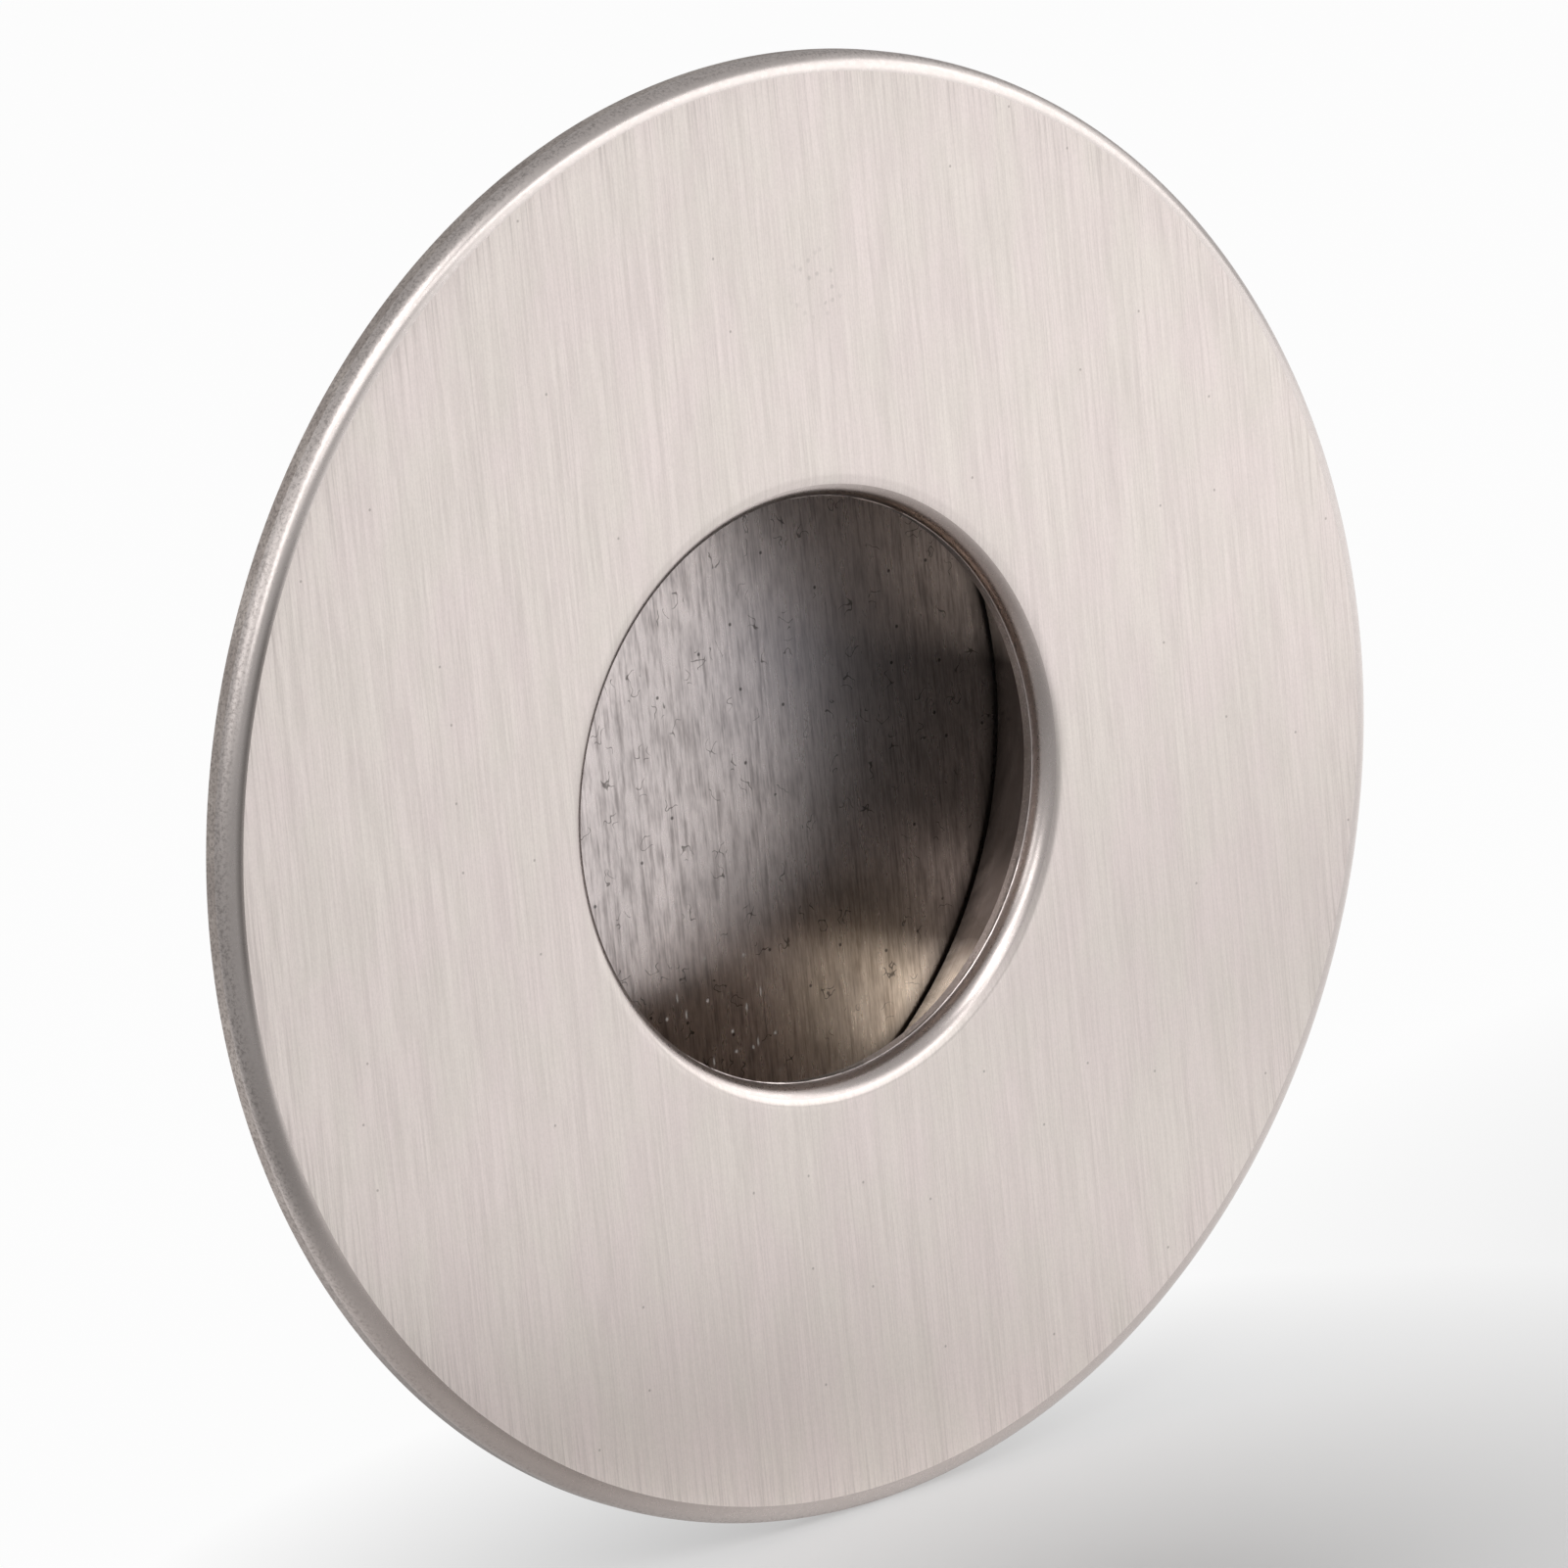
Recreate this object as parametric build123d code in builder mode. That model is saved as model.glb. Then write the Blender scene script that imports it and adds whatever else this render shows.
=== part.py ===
from build123d import *
import os

# Round recessed pull: a brushed front plate with a round finger opening, and
# behind it a wider cup that lies in a hole bored in the door, so that the
# fingers hook behind the opening's lip.
#
# Frame: as mounted in an upright door. The front faces -Y, +Z is up, and the
# origin is on the cup's axis, in the plane of the door's surface, which is the
# plate's back face. What lies in the door has positive Y. Millimetres.

# Front plate
plate_diameter = 60.0
plate_thickness = 1.5
plate_edge_round = 0.8      # outer edge, on the front only
plate_back_break = 0.15     # the back's outer edge, only deburred
opening_diameter = 24.0
lip_round = 1.0             # the opening's edge, on the front only

# Cup, made of a length of tube and a disc
tube_diameter = 38.1
tube_wall = 0.9
recess_depth = 10.5         # from the plate's front face to the floor
floor_thickness = 1.5
cup_lead_in = 0.3           # chamfer that leads the cup into the door's hole

# Seats
tube_seat_depth = 0.4       # how far the tube stands in the plate's back
seat_clearance = 0.05       # round the tube in its groove, and round the floor
shoulder_break = 0.15       # deburred edge round the floor, the dark seam

# Dependent sizes
plate_radius = plate_diameter / 2
opening_radius = opening_diameter / 2
tube_radius = tube_diameter / 2
bore_radius = tube_radius - tube_wall
floor_front = recess_depth - plate_thickness
cup_back = floor_front + floor_thickness

# The tube is bevelled outside where it stands in the groove, and bored out at
# its other end to half its wall, which makes the shoulder under the floor.
tube_bevel = tube_wall / 4
floor_seat_radius = bore_radius + tube_wall / 2
floor_radius = floor_seat_radius - seat_clearance

# A round or a chamfer is never larger than the wall that it is cut in.
smallest_land = 0.2
edge_round = min(plate_edge_round, plate_thickness - plate_back_break - smallest_land)
opening_round = min(lip_round, plate_thickness - smallest_land)
lead_in = min(cup_lead_in, (tube_radius - floor_seat_radius) * 0.8)


# Front plate: a flat ring, laid on the door and growing out of it, towards -Y
with BuildPart() as front_plate:
    with BuildSketch(Plane.XZ):
        Circle(plate_radius)
        Circle(opening_radius, mode=Mode.SUBTRACT)
    extrude(amount=plate_thickness)

    # The outer edge is eased and the opening gets its finger-friendly lip.
    front_face = front_plate.faces().sort_by(Axis.Y)[0]
    lip_edge = front_face.edges().sort_by(SortBy.RADIUS)[0]
    fillet(lip_edge, opening_round)
    front_face = front_plate.faces().sort_by(Axis.Y)[0]
    outer_edge = front_face.edges().sort_by(SortBy.RADIUS)[-1]
    fillet(outer_edge, edge_round)
    back_face = front_plate.faces().sort_by(Axis.Y)[-1]
    chamfer(back_face.edges().sort_by(SortBy.RADIUS)[-1], plate_back_break)

    # Groove in the back that the tube stands in
    with BuildSketch(Plane.XZ):
        Circle(tube_radius + seat_clearance)
        Circle(bore_radius - seat_clearance, mode=Mode.SUBTRACT)
    extrude(amount=tube_seat_depth, mode=Mode.SUBTRACT)

front_plate.part.label = "front_plate"


# Cup wall: half the tube's section, radius by depth, turned about the cup's axis
with BuildPart() as cup_wall:
    with BuildSketch(Plane.XY) as tube_section:
        with BuildLine():
            Polyline(
                (bore_radius, -tube_seat_depth),
                (tube_radius - tube_bevel, -tube_seat_depth),
                (tube_radius, 0),
                (tube_radius, cup_back),
                (floor_seat_radius, cup_back),
                (floor_seat_radius, floor_front),
                (bore_radius, floor_front),
                close=True,
            )
        make_face()
        corners = tube_section.vertices()
        back_corner = corners.sort_by_distance((tube_radius, cup_back))[0]
        shoulder_corner = corners.sort_by_distance((bore_radius, floor_front))[0]
        chamfer(back_corner, lead_in)
        chamfer(shoulder_corner, shoulder_break)
    revolve(axis=Axis.Y)

cup_wall.part.label = "cup_wall"


# Floor: a disc laid on the tube's shoulder from behind, flush with its end
with BuildPart() as floor_disc:
    with BuildSketch(Plane.XZ.offset(-floor_front)):
        Circle(floor_radius)
    extrude(amount=-floor_thickness)
    disc_back = floor_disc.faces().sort_by(Axis.Y)[-1]
    chamfer(disc_back.edges(), plate_back_break)

floor_disc.part.label = "floor_disc"


os.makedirs("parts", exist_ok=True)
export_step(front_plate.part, "parts/front_plate.step")
export_step(cup_wall.part, "parts/cup_wall.step")
export_step(floor_disc.part, "parts/floor_disc.step")
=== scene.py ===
import math

import bpy
from mathutils import Matrix, Vector, noise


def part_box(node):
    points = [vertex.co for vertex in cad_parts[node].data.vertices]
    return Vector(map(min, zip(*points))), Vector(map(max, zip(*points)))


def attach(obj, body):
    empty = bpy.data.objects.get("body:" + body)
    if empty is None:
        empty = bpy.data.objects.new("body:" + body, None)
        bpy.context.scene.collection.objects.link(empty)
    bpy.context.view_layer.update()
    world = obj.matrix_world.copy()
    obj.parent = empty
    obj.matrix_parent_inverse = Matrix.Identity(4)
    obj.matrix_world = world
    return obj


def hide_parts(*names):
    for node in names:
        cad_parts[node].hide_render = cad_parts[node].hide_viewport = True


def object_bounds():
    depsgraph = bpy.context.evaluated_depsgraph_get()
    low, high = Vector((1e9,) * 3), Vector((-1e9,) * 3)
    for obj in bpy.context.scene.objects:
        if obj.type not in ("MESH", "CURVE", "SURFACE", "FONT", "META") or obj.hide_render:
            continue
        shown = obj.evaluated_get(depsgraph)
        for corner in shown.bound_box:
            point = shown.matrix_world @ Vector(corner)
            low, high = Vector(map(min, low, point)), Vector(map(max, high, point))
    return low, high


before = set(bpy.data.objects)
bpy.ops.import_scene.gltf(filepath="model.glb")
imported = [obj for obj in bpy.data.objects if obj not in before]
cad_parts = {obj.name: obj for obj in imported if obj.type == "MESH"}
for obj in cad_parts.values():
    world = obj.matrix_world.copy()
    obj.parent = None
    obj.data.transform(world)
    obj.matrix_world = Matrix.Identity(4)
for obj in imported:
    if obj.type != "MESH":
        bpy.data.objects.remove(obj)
cad_low, cad_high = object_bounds()

# Round recessed pull: brushed front plate, satin cup wall and brushed cup floor.
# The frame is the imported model's: the front faces -Y, +Z is up, and the cup's
# axis is the Y axis. Metres; MM turns the sizes below, in millimetres, into metres.

MM = 0.001

# Sizes that the frame gives
plate_low, plate_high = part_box("front_plate")
tube_low, tube_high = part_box("cup_wall")
disc_low, disc_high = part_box("floor_disc")
plate_radius = plate_high[0]
face_y = plate_low[1]
tube_radius = tube_high[0]
cup_back = tube_high[1]
seat_y = tube_low[1]
floor_y = disc_low[1]
disc_radius = disc_high[0]
foot_z = cad_low[2]

# Sizes that it doesn't, as the parts have them
opening_radius = 12.0 * MM
lip_round = 1.0 * MM
edge_round = 0.8 * MM
back_break = 0.15 * MM
tube_wall = 0.9 * MM
seat_clearance = 0.05 * MM
cup_lead_in = 0.3 * MM
shoulder_break = 0.15 * MM
bore_radius = tube_radius - tube_wall
floor_seat_radius = bore_radius + tube_wall / 2
tube_bevel = tube_wall / 4
face_outer = plate_radius - edge_round
face_inner = opening_radius + lip_round

# The burr's ragged ridge where the lip meets the land, and the outer edge's nicks
burr_radius = 11.965 * MM
burr_y = face_y + lip_round
burr_foot = 0.05 * MM       # from the ridge to its foot on the land
burr_toe = 0.03 * MM        # from the ridge to its foot on the lip
burr_ragged = 0.012 * MM
nick_depth = 0.10 * MM
nick_level = 0.62           # noise below this leaves the edge whole


# Turned meshes

SEGMENTS = 480      # round every turned piece
ARC_STEPS = 10      # in a quarter round
SHARP_ANGLE = 35
SAME_PLACE = 1e-9


def quarter(centre, radius, start, end, steps=ARC_STEPS):
    """Points of an arc in the half section; 0 degrees is outwards, 90 towards the door."""
    points = []
    for i in range(steps + 1):
        angle = math.radians(start + (end - start) * i / steps)
        points.append((centre[0] + radius * math.cos(angle), centre[1] + radius * math.sin(angle)))
    return points


def line(start, end, steps=1):
    """Points from start to end of a straight stretch of the half section."""
    points = []
    for i in range(steps + 1):
        share = i / steps
        across = start[0] + (end[0] - start[0]) * share
        along = start[1] + (end[1] - start[1]) * share
        points.append((across, along))
    return points


def turned(name, runs, closed=True, worn=None):
    """A mesh turned about the Y axis from runs of (material, points).

    A point on the axis closes the middle. worn(radius, angle) gives the radius with its wear."""
    materials = list(dict.fromkeys(material for material, points in runs))
    section = []
    slots = []
    for material, points in runs:
        for point in points:
            if section and math.dist(section[-1], point) < SAME_PLACE:
                continue
            if section:
                slots.append(materials.index(material))
            section.append(point)
    if closed and math.dist(section[0], section[-1]) < SAME_PLACE:
        section.pop()
    verts = []
    rings = []
    for radius, y in section:
        if radius < SAME_PLACE:
            rings.append([len(verts)])
            verts.append((0, y, 0))
            continue
        ring = []
        for i in range(SEGMENTS):
            angle = 2 * math.pi * i / SEGMENTS
            r = worn(radius, angle) if worn else radius
            ring.append(len(verts))
            verts.append((r * math.cos(angle), y, r * math.sin(angle)))
        rings.append(ring)
    faces = []
    face_slots = []
    count = len(rings)
    pairs = count if closed else count - 1
    for k in range(pairs):
        a = rings[k]
        b = rings[(k + 1) % count]
        for i in range(SEGMENTS):
            j = (i + 1) % SEGMENTS
            if len(a) == 1:
                faces.append((a[0], b[i], b[j]))
            elif len(b) == 1:
                faces.append((a[i], b[0], a[j]))
            else:
                faces.append((a[i], b[i], b[j], a[j]))
            face_slots.append(slots[k])
    mesh = bpy.data.meshes.new(name)
    mesh.from_pydata(verts, [], faces)
    for material in materials:
        mesh.materials.append(material)
    mesh.polygons.foreach_set("material_index", face_slots)
    mesh.update()
    mesh.shade_smooth()
    mesh.set_sharp_from_angle(angle=math.radians(SHARP_ANGLE))
    piece = bpy.data.objects.new(name, mesh)
    bpy.context.scene.collection.objects.link(piece)
    return piece


# Procedural materials

class Nodes:
    """Short ways to make the nodes of one material."""

    def __init__(self, name):
        self.material = bpy.data.materials.new(name)
        self.material.use_nodes = True
        self.tree = self.material.node_tree
        self.shader = self.tree.nodes["Principled BSDF"]
        self.place = self.tree.nodes.new("ShaderNodeTexCoord").outputs["Object"]

    def link(self, output, target):
        self.tree.links.new(output, target)

    def vector_math(self, kind, vector):
        """A node that takes the object coordinates and one fixed vector."""
        node = self.tree.nodes.new("ShaderNodeVectorMath")
        node.operation = kind
        node.inputs[1].default_value = vector
        self.link(self.place, node.inputs[0])
        return node

    def stretched(self, x, y, z, turn=(0, 0, 0)):
        """Object coordinates, in steps of x, y and z metres."""
        node = self.tree.nodes.new("ShaderNodeMapping")
        node.inputs["Scale"].default_value = (1 / x, 1 / y, 1 / z)
        node.inputs["Rotation"].default_value = turn
        self.link(self.place, node.inputs["Vector"])
        return node.outputs["Vector"]

    def even(self, size):
        """Object coordinates, in steps of one size."""
        return self.stretched(size, size, size)

    def noise(self, vector, detail=2.0, roughness=0.5):
        node = self.tree.nodes.new("ShaderNodeTexNoise")
        node.inputs["Scale"].default_value = 1
        node.inputs["Detail"].default_value = detail
        node.inputs["Roughness"].default_value = roughness
        self.link(vector, node.inputs["Vector"])
        return node.outputs["Fac"]

    def remap(self, value, low, high, to_low, to_high):
        node = self.tree.nodes.new("ShaderNodeMapRange")
        node.inputs["From Min"].default_value = low
        node.inputs["From Max"].default_value = high
        node.inputs["To Min"].default_value = to_low
        node.inputs["To Max"].default_value = to_high
        self.link(value, node.inputs["Value"])
        return node.outputs["Result"]

    def math(self, kind, a, b=0):
        node = self.tree.nodes.new("ShaderNodeMath")
        node.operation = kind
        for value, socket in ((a, node.inputs[0]), (b, node.inputs[1])):
            if isinstance(value, (int, float)):
                socket.default_value = value
            else:
                self.link(value, socket)
        return node.outputs["Value"]

    def plus(self, a, b):
        return self.math("ADD", a, b)

    def times(self, a, b):
        return self.math("MULTIPLY", a, b)

    def most(self, a, b):
        return self.math("MAXIMUM", a, b)

    def blend(self, share, a, b):
        """Colour from a to b by share."""
        node = self.tree.nodes.new("ShaderNodeMix")
        node.data_type = "RGBA"
        self.link(share, node.inputs["Factor"])
        for value, socket in ((a, node.inputs[6]), (b, node.inputs[7])):
            if isinstance(value, tuple):
                socket.default_value = (*value, 1)
            else:
                self.link(value, socket)
        return node.outputs[2]

    def bump(self, height, depth, under=None):
        node = self.tree.nodes.new("ShaderNodeBump")
        node.inputs["Distance"].default_value = depth
        node.inputs["Strength"].default_value = 1
        self.link(height, node.inputs["Height"])
        if under is not None:
            self.link(under, node.inputs["Normal"])
        return node.outputs["Normal"]

    def radius(self):
        """Distance from the cup's axis."""
        flat = self.vector_math("MULTIPLY", (1, 0, 1))
        length = self.tree.nodes.new("ShaderNodeVectorMath")
        length.operation = "LENGTH"
        self.link(flat.outputs["Vector"], length.inputs[0])
        return length.outputs["Value"]

    def along(self, axis):
        """Position along one axis."""
        axes = self.tree.nodes.new("ShaderNodeSeparateXYZ")
        self.link(self.place, axes.inputs[0])
        return axes.outputs[axis]

    def near(self, place, size):
        """1 at a place, fading to 0 at size from it."""
        return self.remap(self.vector_math("DISTANCE", place).outputs["Value"], 0, size, 1, 0)

    def cells(self, spacing, share, drawn=1):
        """Cells of a face that looks along Y, drawn out upright.

        Gives the distance to each cell's point, and 1 in a share of the cells."""
        node = self.tree.nodes.new("ShaderNodeTexVoronoi")
        node.voronoi_dimensions = "2D"
        node.inputs["Scale"].default_value = 1
        place = self.stretched(spacing, spacing, drawn * spacing, turn=(math.pi / 2, 0, 0))
        self.link(place, node.inputs["Vector"])
        split = self.tree.nodes.new("ShaderNodeSeparateColor")
        self.link(node.outputs["Color"], split.inputs["Color"])
        return node.outputs["Distance"], self.math("LESS_THAN", split.outputs["Red"], share)

    def specks(self, spacing, size, share, drawn=1):
        """1 in small specks, round or drawn out upright, which a share of the cells has."""
        distance, some = self.cells(spacing, share, drawn)
        dot = self.remap(distance, 0.3 * size / spacing, 0.6 * size / spacing, 1, 0)
        return self.times(dot, some)

    def curls(self, spacing, size, bend, share):
        """1 in short curved fibres: a noise's contour lines, each cut to size round a cell's point."""
        distance, some = self.cells(spacing, share)
        wave = self.noise(self.even(bend), detail=1)
        away = self.math("ABSOLUTE", self.math("SUBTRACT", wave, 0.5))
        contour = self.remap(away, 0.005, 0.016, 1, 0)
        cut = self.remap(distance, 0.45 * size / spacing, 0.55 * size / spacing, 1, 0)
        return self.times(self.times(contour, cut), some)

    def metal(self, colour, roughness, normal, anisotropy=0.0):
        """The finished material; anisotropy is for upright brushing."""
        self.shader.inputs["Metallic"].default_value = 1
        self.link(colour, self.shader.inputs["Base Color"])
        self.link(roughness, self.shader.inputs["Roughness"])
        self.link(normal, self.shader.inputs["Normal"])
        if anisotropy:
            self.shader.inputs["Anisotropic"].default_value = anisotropy
            across = self.tree.nodes.new("ShaderNodeCombineXYZ")
            across.inputs["X"].default_value = 1
            self.link(across.outputs["Vector"], self.shader.inputs["Tangent"])
        return self.material


# Where the photograph shows wear, stains and tints, and where shade, dark reflections and a
# highlight's warmth are painted
SCUFF = (2.3 * MM, face_y, 20.6 * MM)
# Painted shade: the plate's edge and side darken round here, at the lower left, and along the foot.
LOW_SHADE_PLACE = (-20 * MM, face_y, -22 * MM)
PAINTED_RIM_REFLECTION = (-29 * MM, face_y, 6 * MM)
LIP_DARK_REFLECTION = (8.5 * MM, face_y, 9 * MM)
WARM_HIGHLIGHT_PLACE = (9.5 * MM, floor_y, -12 * MM)
BLUE_TINT = (8 * MM, floor_y, 3 * MM)
PALE_MARKS = (1.8 * MM, floor_y, -11.4 * MM)
WALL_SHADE_DROP = 5.2 * MM      # from the cup's axis down to the middle of the band of painted shade

# Colours of more than one material
FACE_LINE = (0.55, 0.49, 0.46)
SIDE_GRAIN = (0.24, 0.205, 0.19)


def hairlines(n, width, length):
    """Upright hairlines of three widths, about 0.5 on average."""
    fine = n.noise(n.stretched(width, length, length), detail=3, roughness=0.6)
    middle = n.noise(n.stretched(2.4 * width, length, 1.4 * length))
    broad = n.noise(n.stretched(7 * width, length, 2.5 * length))
    return n.plus(n.plus(n.times(fine, 0.6), n.times(middle, 0.28)), n.times(broad, 0.12))


def rubbed(n):
    """Faint streaks of a rubbed round."""
    return n.noise(n.stretched(0.25 * MM, 0.10 * MM, 0.25 * MM), detail=3)


def mottled(n):
    """The grain of the plate's side."""
    return n.noise(n.even(0.14 * MM), detail=3, roughness=0.7)


def painted_low_shade(n):
    """How far painted shade darkens the plate's edge and side: most at its lower left, a little all
    along its foot.
    """
    patch = n.remap(n.near(LOW_SHADE_PLACE, 24 * MM), 0.1, 0.8, 0, 1)
    foot = n.remap(n.along("Z"), -9 * MM, -25 * MM, 0, 0.35)
    return n.most(patch, foot)


def make_face_metal():
    """Fine upright brushing with a faint cast, whose lines bite deeper beside the edge round."""
    n = Nodes("face_metal")
    lines = hairlines(n, 0.07 * MM, 3.2 * MM)
    grain = n.noise(n.stretched(0.07 * MM, 0.07 * MM, 0.11 * MM), detail=1)
    rim = n.remap(n.radius(), plate_radius - 2.6 * MM, face_outer, 0, 1)
    cast = n.noise(n.stretched(2.2 * MM, 2.2 * MM, 4 * MM), detail=3)
    pink, green = (0.960, 0.855, 0.823), (0.945, 0.865, 0.811)
    colour = n.blend(n.remap(cast, 0.35, 0.65, 0, 1), pink, green)
    colour = n.blend(n.remap(lines, 0.38, 0.60, 0.24, 0), colour, FACE_LINE)
    colour = n.blend(n.remap(grain, 0.35, 0.60, 0.10, 0), colour, FACE_LINE)
    bitten = n.times(rim, n.remap(lines, 0.38, 0.50, 0.20, 0))
    colour = n.blend(bitten, colour, (0.45, 0.40, 0.38))
    specks = n.times(n.specks(3.1 * MM, 0.12 * MM, 0.25), 0.5)
    colour = n.blend(specks, colour, (0.30, 0.26, 0.24))
    scuffed = n.remap(n.near(SCUFF, 1.8 * MM), 0, 0.5, 0, 0.4)
    scuffs = n.times(scuffed, n.specks(0.37 * MM, 0.20 * MM, 0.35))
    colour = n.blend(scuffs, colour, (0.55, 0.50, 0.47))
    normal = n.bump(lines, 0.0035 * MM, under=n.bump(grain, 0.0015 * MM))
    return n.metal(colour, n.remap(lines, 0.35, 0.65, 0.34, 0.28), normal, 0.74)


def make_edge_metal():
    """The plate's edge round: smooth by the face, the side's grain behind, painted shade below, and a
    painted dark reflection by the face at the left.
    """
    n = Nodes("edge_metal")
    rub = rubbed(n)
    grain = mottled(n)
    behind = n.remap(n.along("Y"), face_y + 0.12 * MM, face_y + 0.40 * MM, 0, 1)
    colour = n.blend(n.remap(rub, 0.35, 0.65, 0, 1), (0.76, 0.69, 0.66), (0.80, 0.73, 0.70))
    colour = n.blend(painted_low_shade(n), colour, (0.42, 0.365, 0.34))
    # Painted dark reflection: the start of the round darkens beside the face at the left.
    rim = n.remap(n.radius(), face_outer + 0.15 * MM, face_outer + 0.35 * MM, 1, 0)
    left = n.remap(n.near(PAINTED_RIM_REFLECTION, 12 * MM), 0, 0.5, 0, 0.85)
    colour = n.blend(n.times(rim, left), colour, (0.26, 0.23, 0.215))
    colour = n.blend(n.times(behind, n.remap(grain, 0.36, 0.54, 0.5, 0)), colour, SIDE_GRAIN)
    roughness = n.plus(n.remap(rub, 0.3, 0.7, 0.31, 0.26), n.times(behind, 0.10))
    normal = n.bump(n.times(grain, behind), 0.008 * MM, under=n.bump(rub, 0.0006 * MM))
    return n.metal(colour, roughness, normal)


def make_lip_metal():
    """The lip's satin, with a painted brown dark reflection on the inner half of its round at the
    upper right.
    """
    n = Nodes("lip_metal")
    rub = rubbed(n)
    inner = n.remap(n.radius(), opening_radius + 0.95 * MM, opening_radius + 0.15 * MM, 0, 1)
    # Painted dark reflection, brown, on the inner half of the lip's round at the upper right.
    dark_reflection = n.times(inner, n.remap(n.near(LIP_DARK_REFLECTION, 11 * MM), 0, 0.6, 0, 0.85))
    colour = n.blend(n.remap(rub, 0.35, 0.65, 0, 1), (0.76, 0.68, 0.65), (0.80, 0.72, 0.69))
    colour = n.blend(dark_reflection, colour, (0.22, 0.17, 0.15))
    return n.metal(colour, n.remap(rub, 0.3, 0.7, 0.31, 0.26), n.bump(rub, 0.0006 * MM))


def make_side_metal():
    """The plate's side: dull, with a dark mottled grain, and painted shade that makes it darker lower
    down.
    """
    n = Nodes("side_metal")
    grain = mottled(n)
    patch = n.noise(n.even(2 * MM), detail=3)
    colour = n.blend(n.remap(patch, 0.40, 0.60, 0, 1), (0.58, 0.51, 0.475), (0.73, 0.655, 0.61))
    colour = n.blend(painted_low_shade(n), colour, (0.31, 0.275, 0.26))
    colour = n.blend(n.remap(grain, 0.36, 0.54, 0.6, 0), colour, SIDE_GRAIN)
    return n.metal(colour, n.remap(grain, 0.35, 0.65, 0.52, 0.42), n.bump(grain, 0.010 * MM))


def make_satin(name, dark, pale, roughness, grain, depth):
    """Plain satin metal with a fine even grain."""
    n = Nodes(name)
    fine = n.noise(n.even(grain), detail=3, roughness=0.6)
    cloud = n.noise(n.even(9 * grain), detail=3)
    tone = n.plus(n.times(fine, 0.6), n.times(cloud, 0.4))
    colour = n.blend(n.remap(tone, 0.35, 0.65, 0, 1), dark, pale)
    uneven = n.remap(fine, 0.3, 0.7, roughness + 0.05, roughness - 0.05)
    return n.metal(colour, uneven, n.bump(fine, depth))


def make_wall_metal():
    """The cup's inside wall: smooth, with a painted dark band of shade below the middle of its sides.
    """
    n = Nodes("wall_metal")
    ragged = n.remap(n.noise(n.even(2 * MM), detail=3), 0, 1, -0.5 * MM, 0.5 * MM)
    aside = n.math("ABSOLUTE", n.plus(n.plus(n.along("Z"), WALL_SHADE_DROP), ragged))
    shade_band = n.remap(aside, 5.5 * MM, 7.0 * MM, 0.9, 0)
    rub = n.noise(n.stretched(1.5 * MM, 0.12 * MM, 1.5 * MM), detail=3)
    colour = n.blend(n.remap(rub, 0.35, 0.65, 0, 1), (0.72, 0.63, 0.55), (0.86, 0.78, 0.70))
    # Painted shade: a dark band below the middle of the wall's sides.
    colour = n.blend(shade_band, colour, (0.10, 0.08, 0.07))
    return n.metal(colour, n.remap(rub, 0.3, 0.7, 0.22, 0.16), n.bump(rub, 0.002 * MM))


def make_floor_metal():
    """The cup's floor: streaky brushing, tints, a painted warm highlight, painted shade at its edge,
    pale marks, lint and specks.
    """
    n = Nodes("floor_metal")
    lines = hairlines(n, 0.11 * MM, 2.4 * MM)
    streak = n.noise(n.stretched(0.42 * MM, 1 * MM, 1.7 * MM), detail=3, roughness=0.65)
    cloud = n.noise(n.stretched(4 * MM, 4 * MM, 6 * MM))
    tone = n.plus(n.times(lines, 0.55), n.times(streak, 0.45))
    # Painted highlight: warmer, and lighter in its dark lines, where the floor's highlight falls at
    # its lower right.
    warm_highlight = n.remap(n.near(WARM_HIGHLIGHT_PLACE, 6 * MM), 0, 0.6, 0, 0.85)
    dark = n.blend(warm_highlight, (0.56, 0.495, 0.485), (0.62, 0.53, 0.43))
    pale = n.blend(warm_highlight, (1.0, 0.905, 0.885), (1.0, 0.90, 0.78))
    colour = n.blend(n.remap(tone, 0.39, 0.54, 0, 1), dark, pale)
    colour = n.blend(n.remap(cloud, 0.40, 0.60, 0.18, 0), colour, (0.40, 0.37, 0.37))
    colour = n.blend(n.times(n.near(BLUE_TINT, 7 * MM), 0.35), colour, (0.52, 0.52, 0.62))
    # Painted shade: the floor darkens towards the wall.
    edge_shade = n.remap(n.radius(), bore_radius - 0.9 * MM, bore_radius - 0.05 * MM, 0, 0.75)
    colour = n.blend(edge_shade, colour, (0.05, 0.04, 0.035))
    worn = n.remap(n.near(PALE_MARKS, 4.5 * MM), 0, 0.3, 0, 0.6)
    ticks = n.specks(0.40 * MM, 0.10 * MM, 0.10, drawn=4)
    marks = n.times(worn, n.most(ticks, n.specks(1.1 * MM, 0.17 * MM, 0.25)))
    colour = n.blend(marks, colour, (0.80, 0.76, 0.72))
    lint = n.times(n.curls(1.7 * MM, 0.80 * MM, 0.65 * MM, 0.65), 0.7)
    colour = n.blend(lint, colour, (0.08, 0.07, 0.06))
    specks = n.times(n.specks(2.1 * MM, 0.16 * MM, 0.3), 0.75)
    colour = n.blend(specks, colour, (0.04, 0.035, 0.03))
    # The pale marks scatter the light, as a scratched or dusty place does.
    n.link(n.math("SUBTRACT", 1, marks), n.shader.inputs["Metallic"])
    roughness = n.remap(tone, 0.35, 0.65, 0.31, 0.26)
    return n.metal(colour, roughness, n.bump(tone, 0.013 * MM), 0.95)


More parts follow.
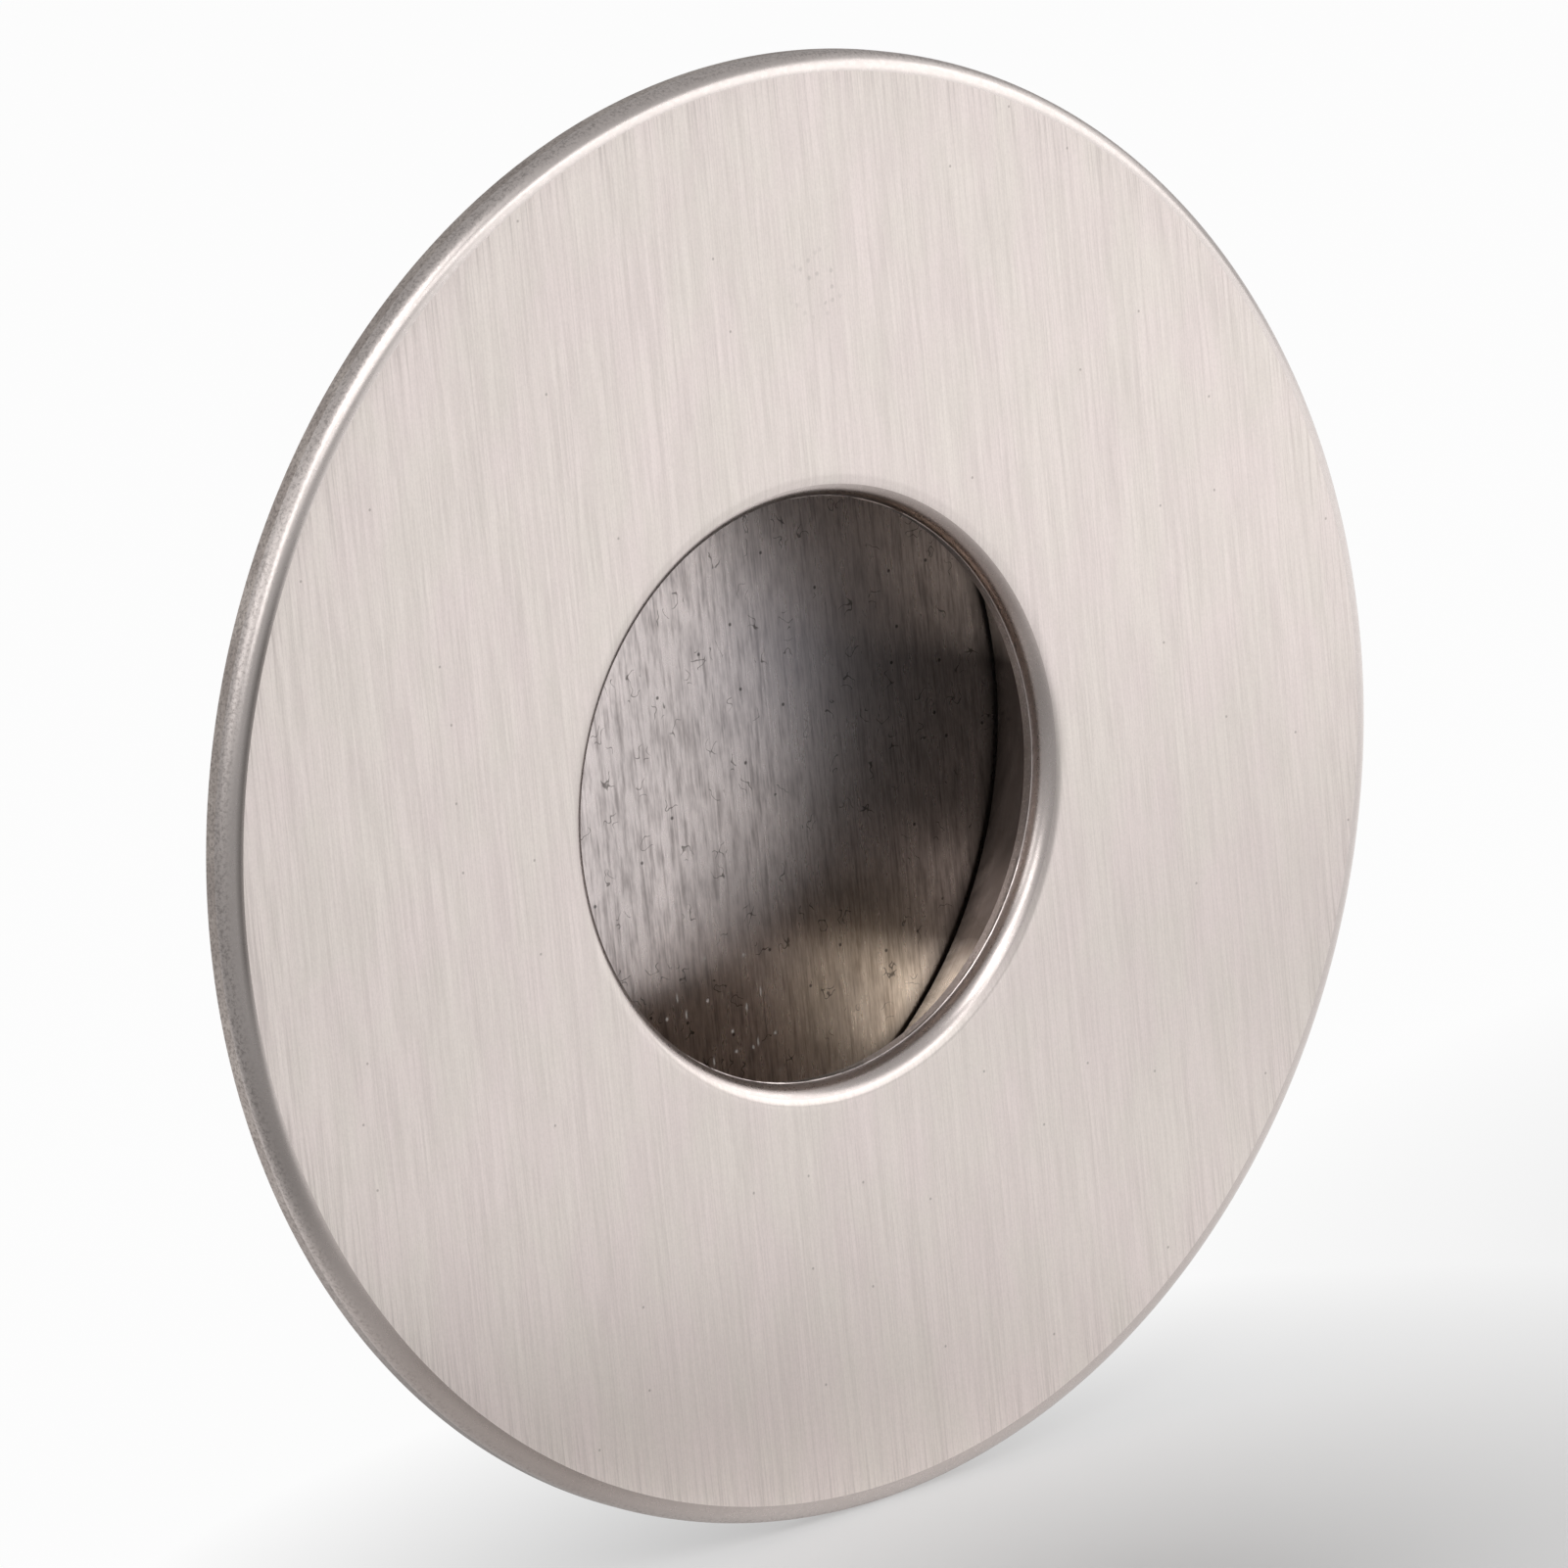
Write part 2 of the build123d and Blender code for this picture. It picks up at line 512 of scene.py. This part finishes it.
# Name, dark and pale colour, roughness, size of the grain and its depth
SATINS = [
    ("land_metal", (0.34, 0.30, 0.27), (0.46, 0.41, 0.38), 0.30, 0.10 * MM, 0.002 * MM),
    ("back_metal", (0.40, 0.37, 0.35), (0.52, 0.48, 0.46), 0.45, 0.15 * MM, 0.004 * MM),
    # The next one is painted shade, near black, for the groove where the floor meets the wall.
    ("seam_shade_metal", (0.03, 0.025, 0.02), (0.08, 0.07, 0.06), 0.55, 0.10 * MM, 0.002 * MM),
    ("inner_metal", (0.26, 0.23, 0.21), (0.34, 0.31, 0.28), 0.45, 0.12 * MM, 0.004 * MM),
]
land_metal, back_metal, seam_shade_metal, inner_metal = [make_satin(*satin) for satin in SATINS]
face_metal = make_face_metal()
edge_metal = make_edge_metal()
lip_metal = make_lip_metal()
side_metal = make_side_metal()
wall_metal = make_wall_metal()
floor_metal = make_floor_metal()


# The pieces

BRUSHED_FROM = 7    # the step of the lip's round, counted from the land, where the brushing starts


def plate_wear(radius, angle):
    """The radius with the burr's ragged ridge and the outer edge's small nicks."""
    where = Vector((math.cos(angle), math.sin(angle), 0))
    if abs(radius - burr_radius) < SAME_PLACE:
        return radius + burr_ragged * noise.noise(9 * where) + burr_ragged * noise.noise(40 * where)
    if abs(radius - plate_radius) < SAME_PLACE:
        nick = noise.noise(38 * where + Vector((5, 2, 0)))
        return radius - nick_depth * max(0, nick - nick_level)
    return radius


def make_plate():
    groove_outer = tube_radius + seat_clearance
    groove_inner = bore_radius - seat_clearance
    lip = quarter((face_inner, face_y + lip_round), lip_round, 180, 270)
    face = line((face_inner, face_y), (face_outer, face_y), 24)
    edge = quarter((face_outer, face_y + edge_round), edge_round, -90, 0)
    side = line((plate_radius, face_y + edge_round), (plate_radius, -back_break), 3)
    back = [
        *line((plate_radius, -back_break), (plate_radius - back_break, 0)),
        *line((plate_radius - back_break, 0), (groove_outer, 0), 6),
        *line((groove_outer, 0), (groove_outer, seat_y)),
        *line((groove_outer, seat_y), (groove_inner, seat_y)),
        *line((groove_inner, seat_y), (groove_inner, 0)),
    ]
    inner = line((groove_inner, 0), (opening_radius, 0), 5)
    land = line((opening_radius, 0), (opening_radius, burr_y + burr_foot), 2)
    burr = [land[-1], (burr_radius, burr_y), (opening_radius, burr_y - burr_toe), lip[1]]
    runs = [
        (lip_metal, lip[1:BRUSHED_FROM + 1]),
        (face_metal, lip[BRUSHED_FROM:]),
        (face_metal, face),
        (edge_metal, edge),
        (side_metal, side),
        (back_metal, back),
        (inner_metal, inner),
        (land_metal, land),
        (lip_metal, burr),
    ]
    plate = turned("plate", runs, worn=plate_wear)
    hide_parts("front_plate")
    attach(plate, "root")


def make_wall():
    back_outer = tube_radius - cup_lead_in
    inside = line((bore_radius, floor_y - shoulder_break), (bore_radius, seat_y), 12)
    outside = [
        *line((bore_radius, seat_y), (tube_radius - tube_bevel, seat_y)),
        *line((tube_radius - tube_bevel, seat_y), (tube_radius, 0)),
        *line((tube_radius, 0), (tube_radius, cup_back - cup_lead_in), 12),
        *line((tube_radius, cup_back - cup_lead_in), (back_outer, cup_back)),
        *line((back_outer, cup_back), (floor_seat_radius, cup_back)),
        *line((floor_seat_radius, cup_back), (floor_seat_radius, floor_y)),
        *line((floor_seat_radius, floor_y), (bore_radius + shoulder_break, floor_y)),
    ]
    # The notch's near-black is painted shade in the seam.
    notch = line((bore_radius + shoulder_break, floor_y), (bore_radius, floor_y - shoulder_break))
    wall = turned("wall", [(wall_metal, inside), (back_metal, outside), (seam_shade_metal, notch)])
    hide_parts("cup_wall")
    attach(wall, "root")


def make_floor():
    front = line((0, floor_y), (disc_radius, floor_y), 16)
    rest = [
        *line((disc_radius, floor_y), (disc_radius, cup_back - back_break), 2),
        *line((disc_radius, cup_back - back_break), (disc_radius - back_break, cup_back)),
        *line((disc_radius - back_break, cup_back), (0, cup_back), 8),
    ]
    disc = turned("floor", [(floor_metal, front), (back_metal, rest)], closed=False)
    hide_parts("floor_disc")
    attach(disc, "root")


make_plate()
make_wall()
make_floor()


# Camera, as the photograph's circles give it

IMAGE_SIZE = 1601
SENSOR = 36.0
FOCAL_PIXELS = 11376.0
CAMERA_DISTANCE = 450.3 * MM
CAMERA_AZIMUTH = -0.6731
CAMERA_ELEVATION = 0.2328
CAMERA_ROLL = -0.10
FACE_PIXEL = (840.5, 809.6)     # where the middle of the front face is seen
CLIP_START = 0.01


def make_camera():
    sin_a, cos_a = math.sin(CAMERA_AZIMUTH), math.cos(CAMERA_AZIMUTH)
    sin_e, cos_e = math.sin(CAMERA_ELEVATION), math.cos(CAMERA_ELEVATION)
    back = Vector((sin_a * cos_e, -cos_a * cos_e, sin_e))
    level = Vector((0, 0, 1)).cross(back).normalized()
    upright = back.cross(level)
    right = math.cos(CAMERA_ROLL) * level + math.sin(CAMERA_ROLL) * upright
    up = back.cross(right)
    place = Vector((0, face_y, 0)) + CAMERA_DISTANCE * back
    # It aims a little aside, so that the face's middle comes at its pixel.
    aside = (FACE_PIXEL[0] - IMAGE_SIZE / 2) / FOCAL_PIXELS
    below = (FACE_PIXEL[1] - IMAGE_SIZE / 2) / FOCAL_PIXELS
    aim_back = (back + aside * right - below * up).normalized()
    aim_right = up.cross(aim_back).normalized()
    aim_up = aim_back.cross(aim_right)
    turn = Matrix((aim_right, aim_up, aim_back)).transposed().to_4x4()
    data = bpy.data.cameras.new("camera")
    data.sensor_width = SENSOR
    data.lens = SENSOR * FOCAL_PIXELS / IMAGE_SIZE
    data.clip_start = CLIP_START
    camera = bpy.data.objects.new("camera", data)
    camera.matrix_world = Matrix.Translation(place) @ turn
    bpy.context.scene.collection.objects.link(camera)
    bpy.context.scene.camera = camera


make_camera()


# Studio

# The floor is white under and behind the object, and turns grey to the front left, beside the
# camera's view, so that the metal has something darker to mirror.
PAPER_REACH = 3.0
WHITE_PAPER = (0.72, 0.72, 0.72)
GREY_PAPER = (0.40, 0.40, 0.40)
FRONT_LEFT = (-0.884, -0.467, 0)
GREY_START = 24 * MM
GREY_END = 46 * MM

# Its white is mostly a glow, which is seen and mirrored only. The glow fades round the object's foot,
# a painted shadow through which the lamp-lit paper and its real shadow show, and it fades to the
# object's right as painted shade for the metal to mirror.
GLOW_SHARE = 0.96
FOOT_FADE = (-2 * MM, -22 * MM, foot_z)
FOOT_FADE_SIZE = 46 * MM
RIGHT_FADE = (78 * MM, -50 * MM, foot_z)
RIGHT_FADE_SIZE = 84 * MM
RIGHT_GLOW = 0.35

WORLD_COLOUR = (0.38, 0.38, 0.38, 1)

# Name, azimuth and elevation in degrees, distance, width, height and radiance. Azimuth 0 is
# straight in front of the pull, and positive to the right.
SOFTBOXES = [
    ("front_right", 48, 20, 0.55, 0.60, 0.34, 1.05),
    ("front", 2, 34, 0.6, 0.46, 0.12, 1.4),
    ("front_left", -45, 29, 0.6, 0.20, 0.18, 2.0),
    ("front_high", -28, 51, 0.6, 0.32, 0.22, 2.3),
    ("right", 86, 26, 0.6, 0.35, 0.30, 0.45),
    ("left", -90, 30, 0.6, 0.35, 0.26, 1.2),
    ("back_left", -140, 32, 0.7, 0.40, 0.30, 0.35),
]


def make_softbox(name, azimuth, elevation, distance, width, height, radiance):
    """A lamp that looks at the middle of the cup's mouth."""
    a, e = math.radians(azimuth), math.radians(elevation)
    back = Vector((math.sin(a) * math.cos(e), -math.cos(a) * math.cos(e), math.sin(e)))
    data = bpy.data.lights.new(name, "AREA")
    data.shape = "RECTANGLE"
    data.size = width
    data.size_y = height
    data.energy = radiance * math.pi * width * height
    lamp = bpy.data.objects.new(name, data)
    lamp.location = distance * back
    lamp.rotation_euler = back.to_track_quat("Z", "Y").to_euler()
    bpy.context.scene.collection.objects.link(lamp)


def make_paper():
    """The floor's material."""
    n = Nodes("ground_paper")
    towards = n.vector_math("DOT_PRODUCT", FRONT_LEFT).outputs["Value"]
    white = n.remap(towards, GREY_START, GREY_END, 1, 0)
    n.link(n.blend(white, GREY_PAPER, WHITE_PAPER), n.shader.inputs["Base Color"])
    n.shader.inputs["Roughness"].default_value = 0.9
    n.shader.inputs["Specular IOR Level"].default_value = 0.1
    glow = n.tree.nodes.new("ShaderNodeEmission")
    glow.inputs["Color"].default_value = (1, 1, 1, 1)
    rays = n.tree.nodes.new("ShaderNodeLightPath").outputs
    mirrored = n.most(rays["Is Glossy Ray"], rays["Is Transmission Ray"])
    seen = n.most(rays["Is Camera Ray"], mirrored)
    # The glow's fades are painted: a shadow round the foot and shade to the right.
    foot = n.remap(n.near(FOOT_FADE, FOOT_FADE_SIZE), 0, 0.9, GLOW_SHARE, 0)
    right = n.remap(n.near(RIGHT_FADE, RIGHT_FADE_SIZE), 0, 0.9, 1, RIGHT_GLOW)
    share = n.times(n.times(foot, right), white)
    mix = n.tree.nodes.new("ShaderNodeMixShader")
    n.link(n.times(seen, share), mix.inputs[0])
    n.link(n.shader.outputs[0], mix.inputs[1])
    n.link(glow.outputs[0], mix.inputs[2])
    n.link(mix.outputs[0], n.tree.nodes["Material Output"].inputs["Surface"])
    return n.material


def make_stage():
    far = PAPER_REACH
    corners = [(-far, -far, foot_z), (far, -far, foot_z), (far, far, foot_z), (-far, far, foot_z)]
    mesh = bpy.data.meshes.new("ground")
    mesh.from_pydata(corners, [], [(0, 1, 2, 3)])
    mesh.materials.append(make_paper())
    ground = bpy.data.objects.new("ground", mesh)
    bpy.context.scene.collection.objects.link(ground)


def make_world():
    world = bpy.data.worlds.new("world")
    world.use_nodes = True
    world.node_tree.nodes["Background"].inputs["Color"].default_value = WORLD_COLOUR
    bpy.context.scene.world = world


make_stage()
make_world()
for softbox in SOFTBOXES:
    make_softbox(*softbox)

bpy.context.scene.view_settings.view_transform = "Standard"
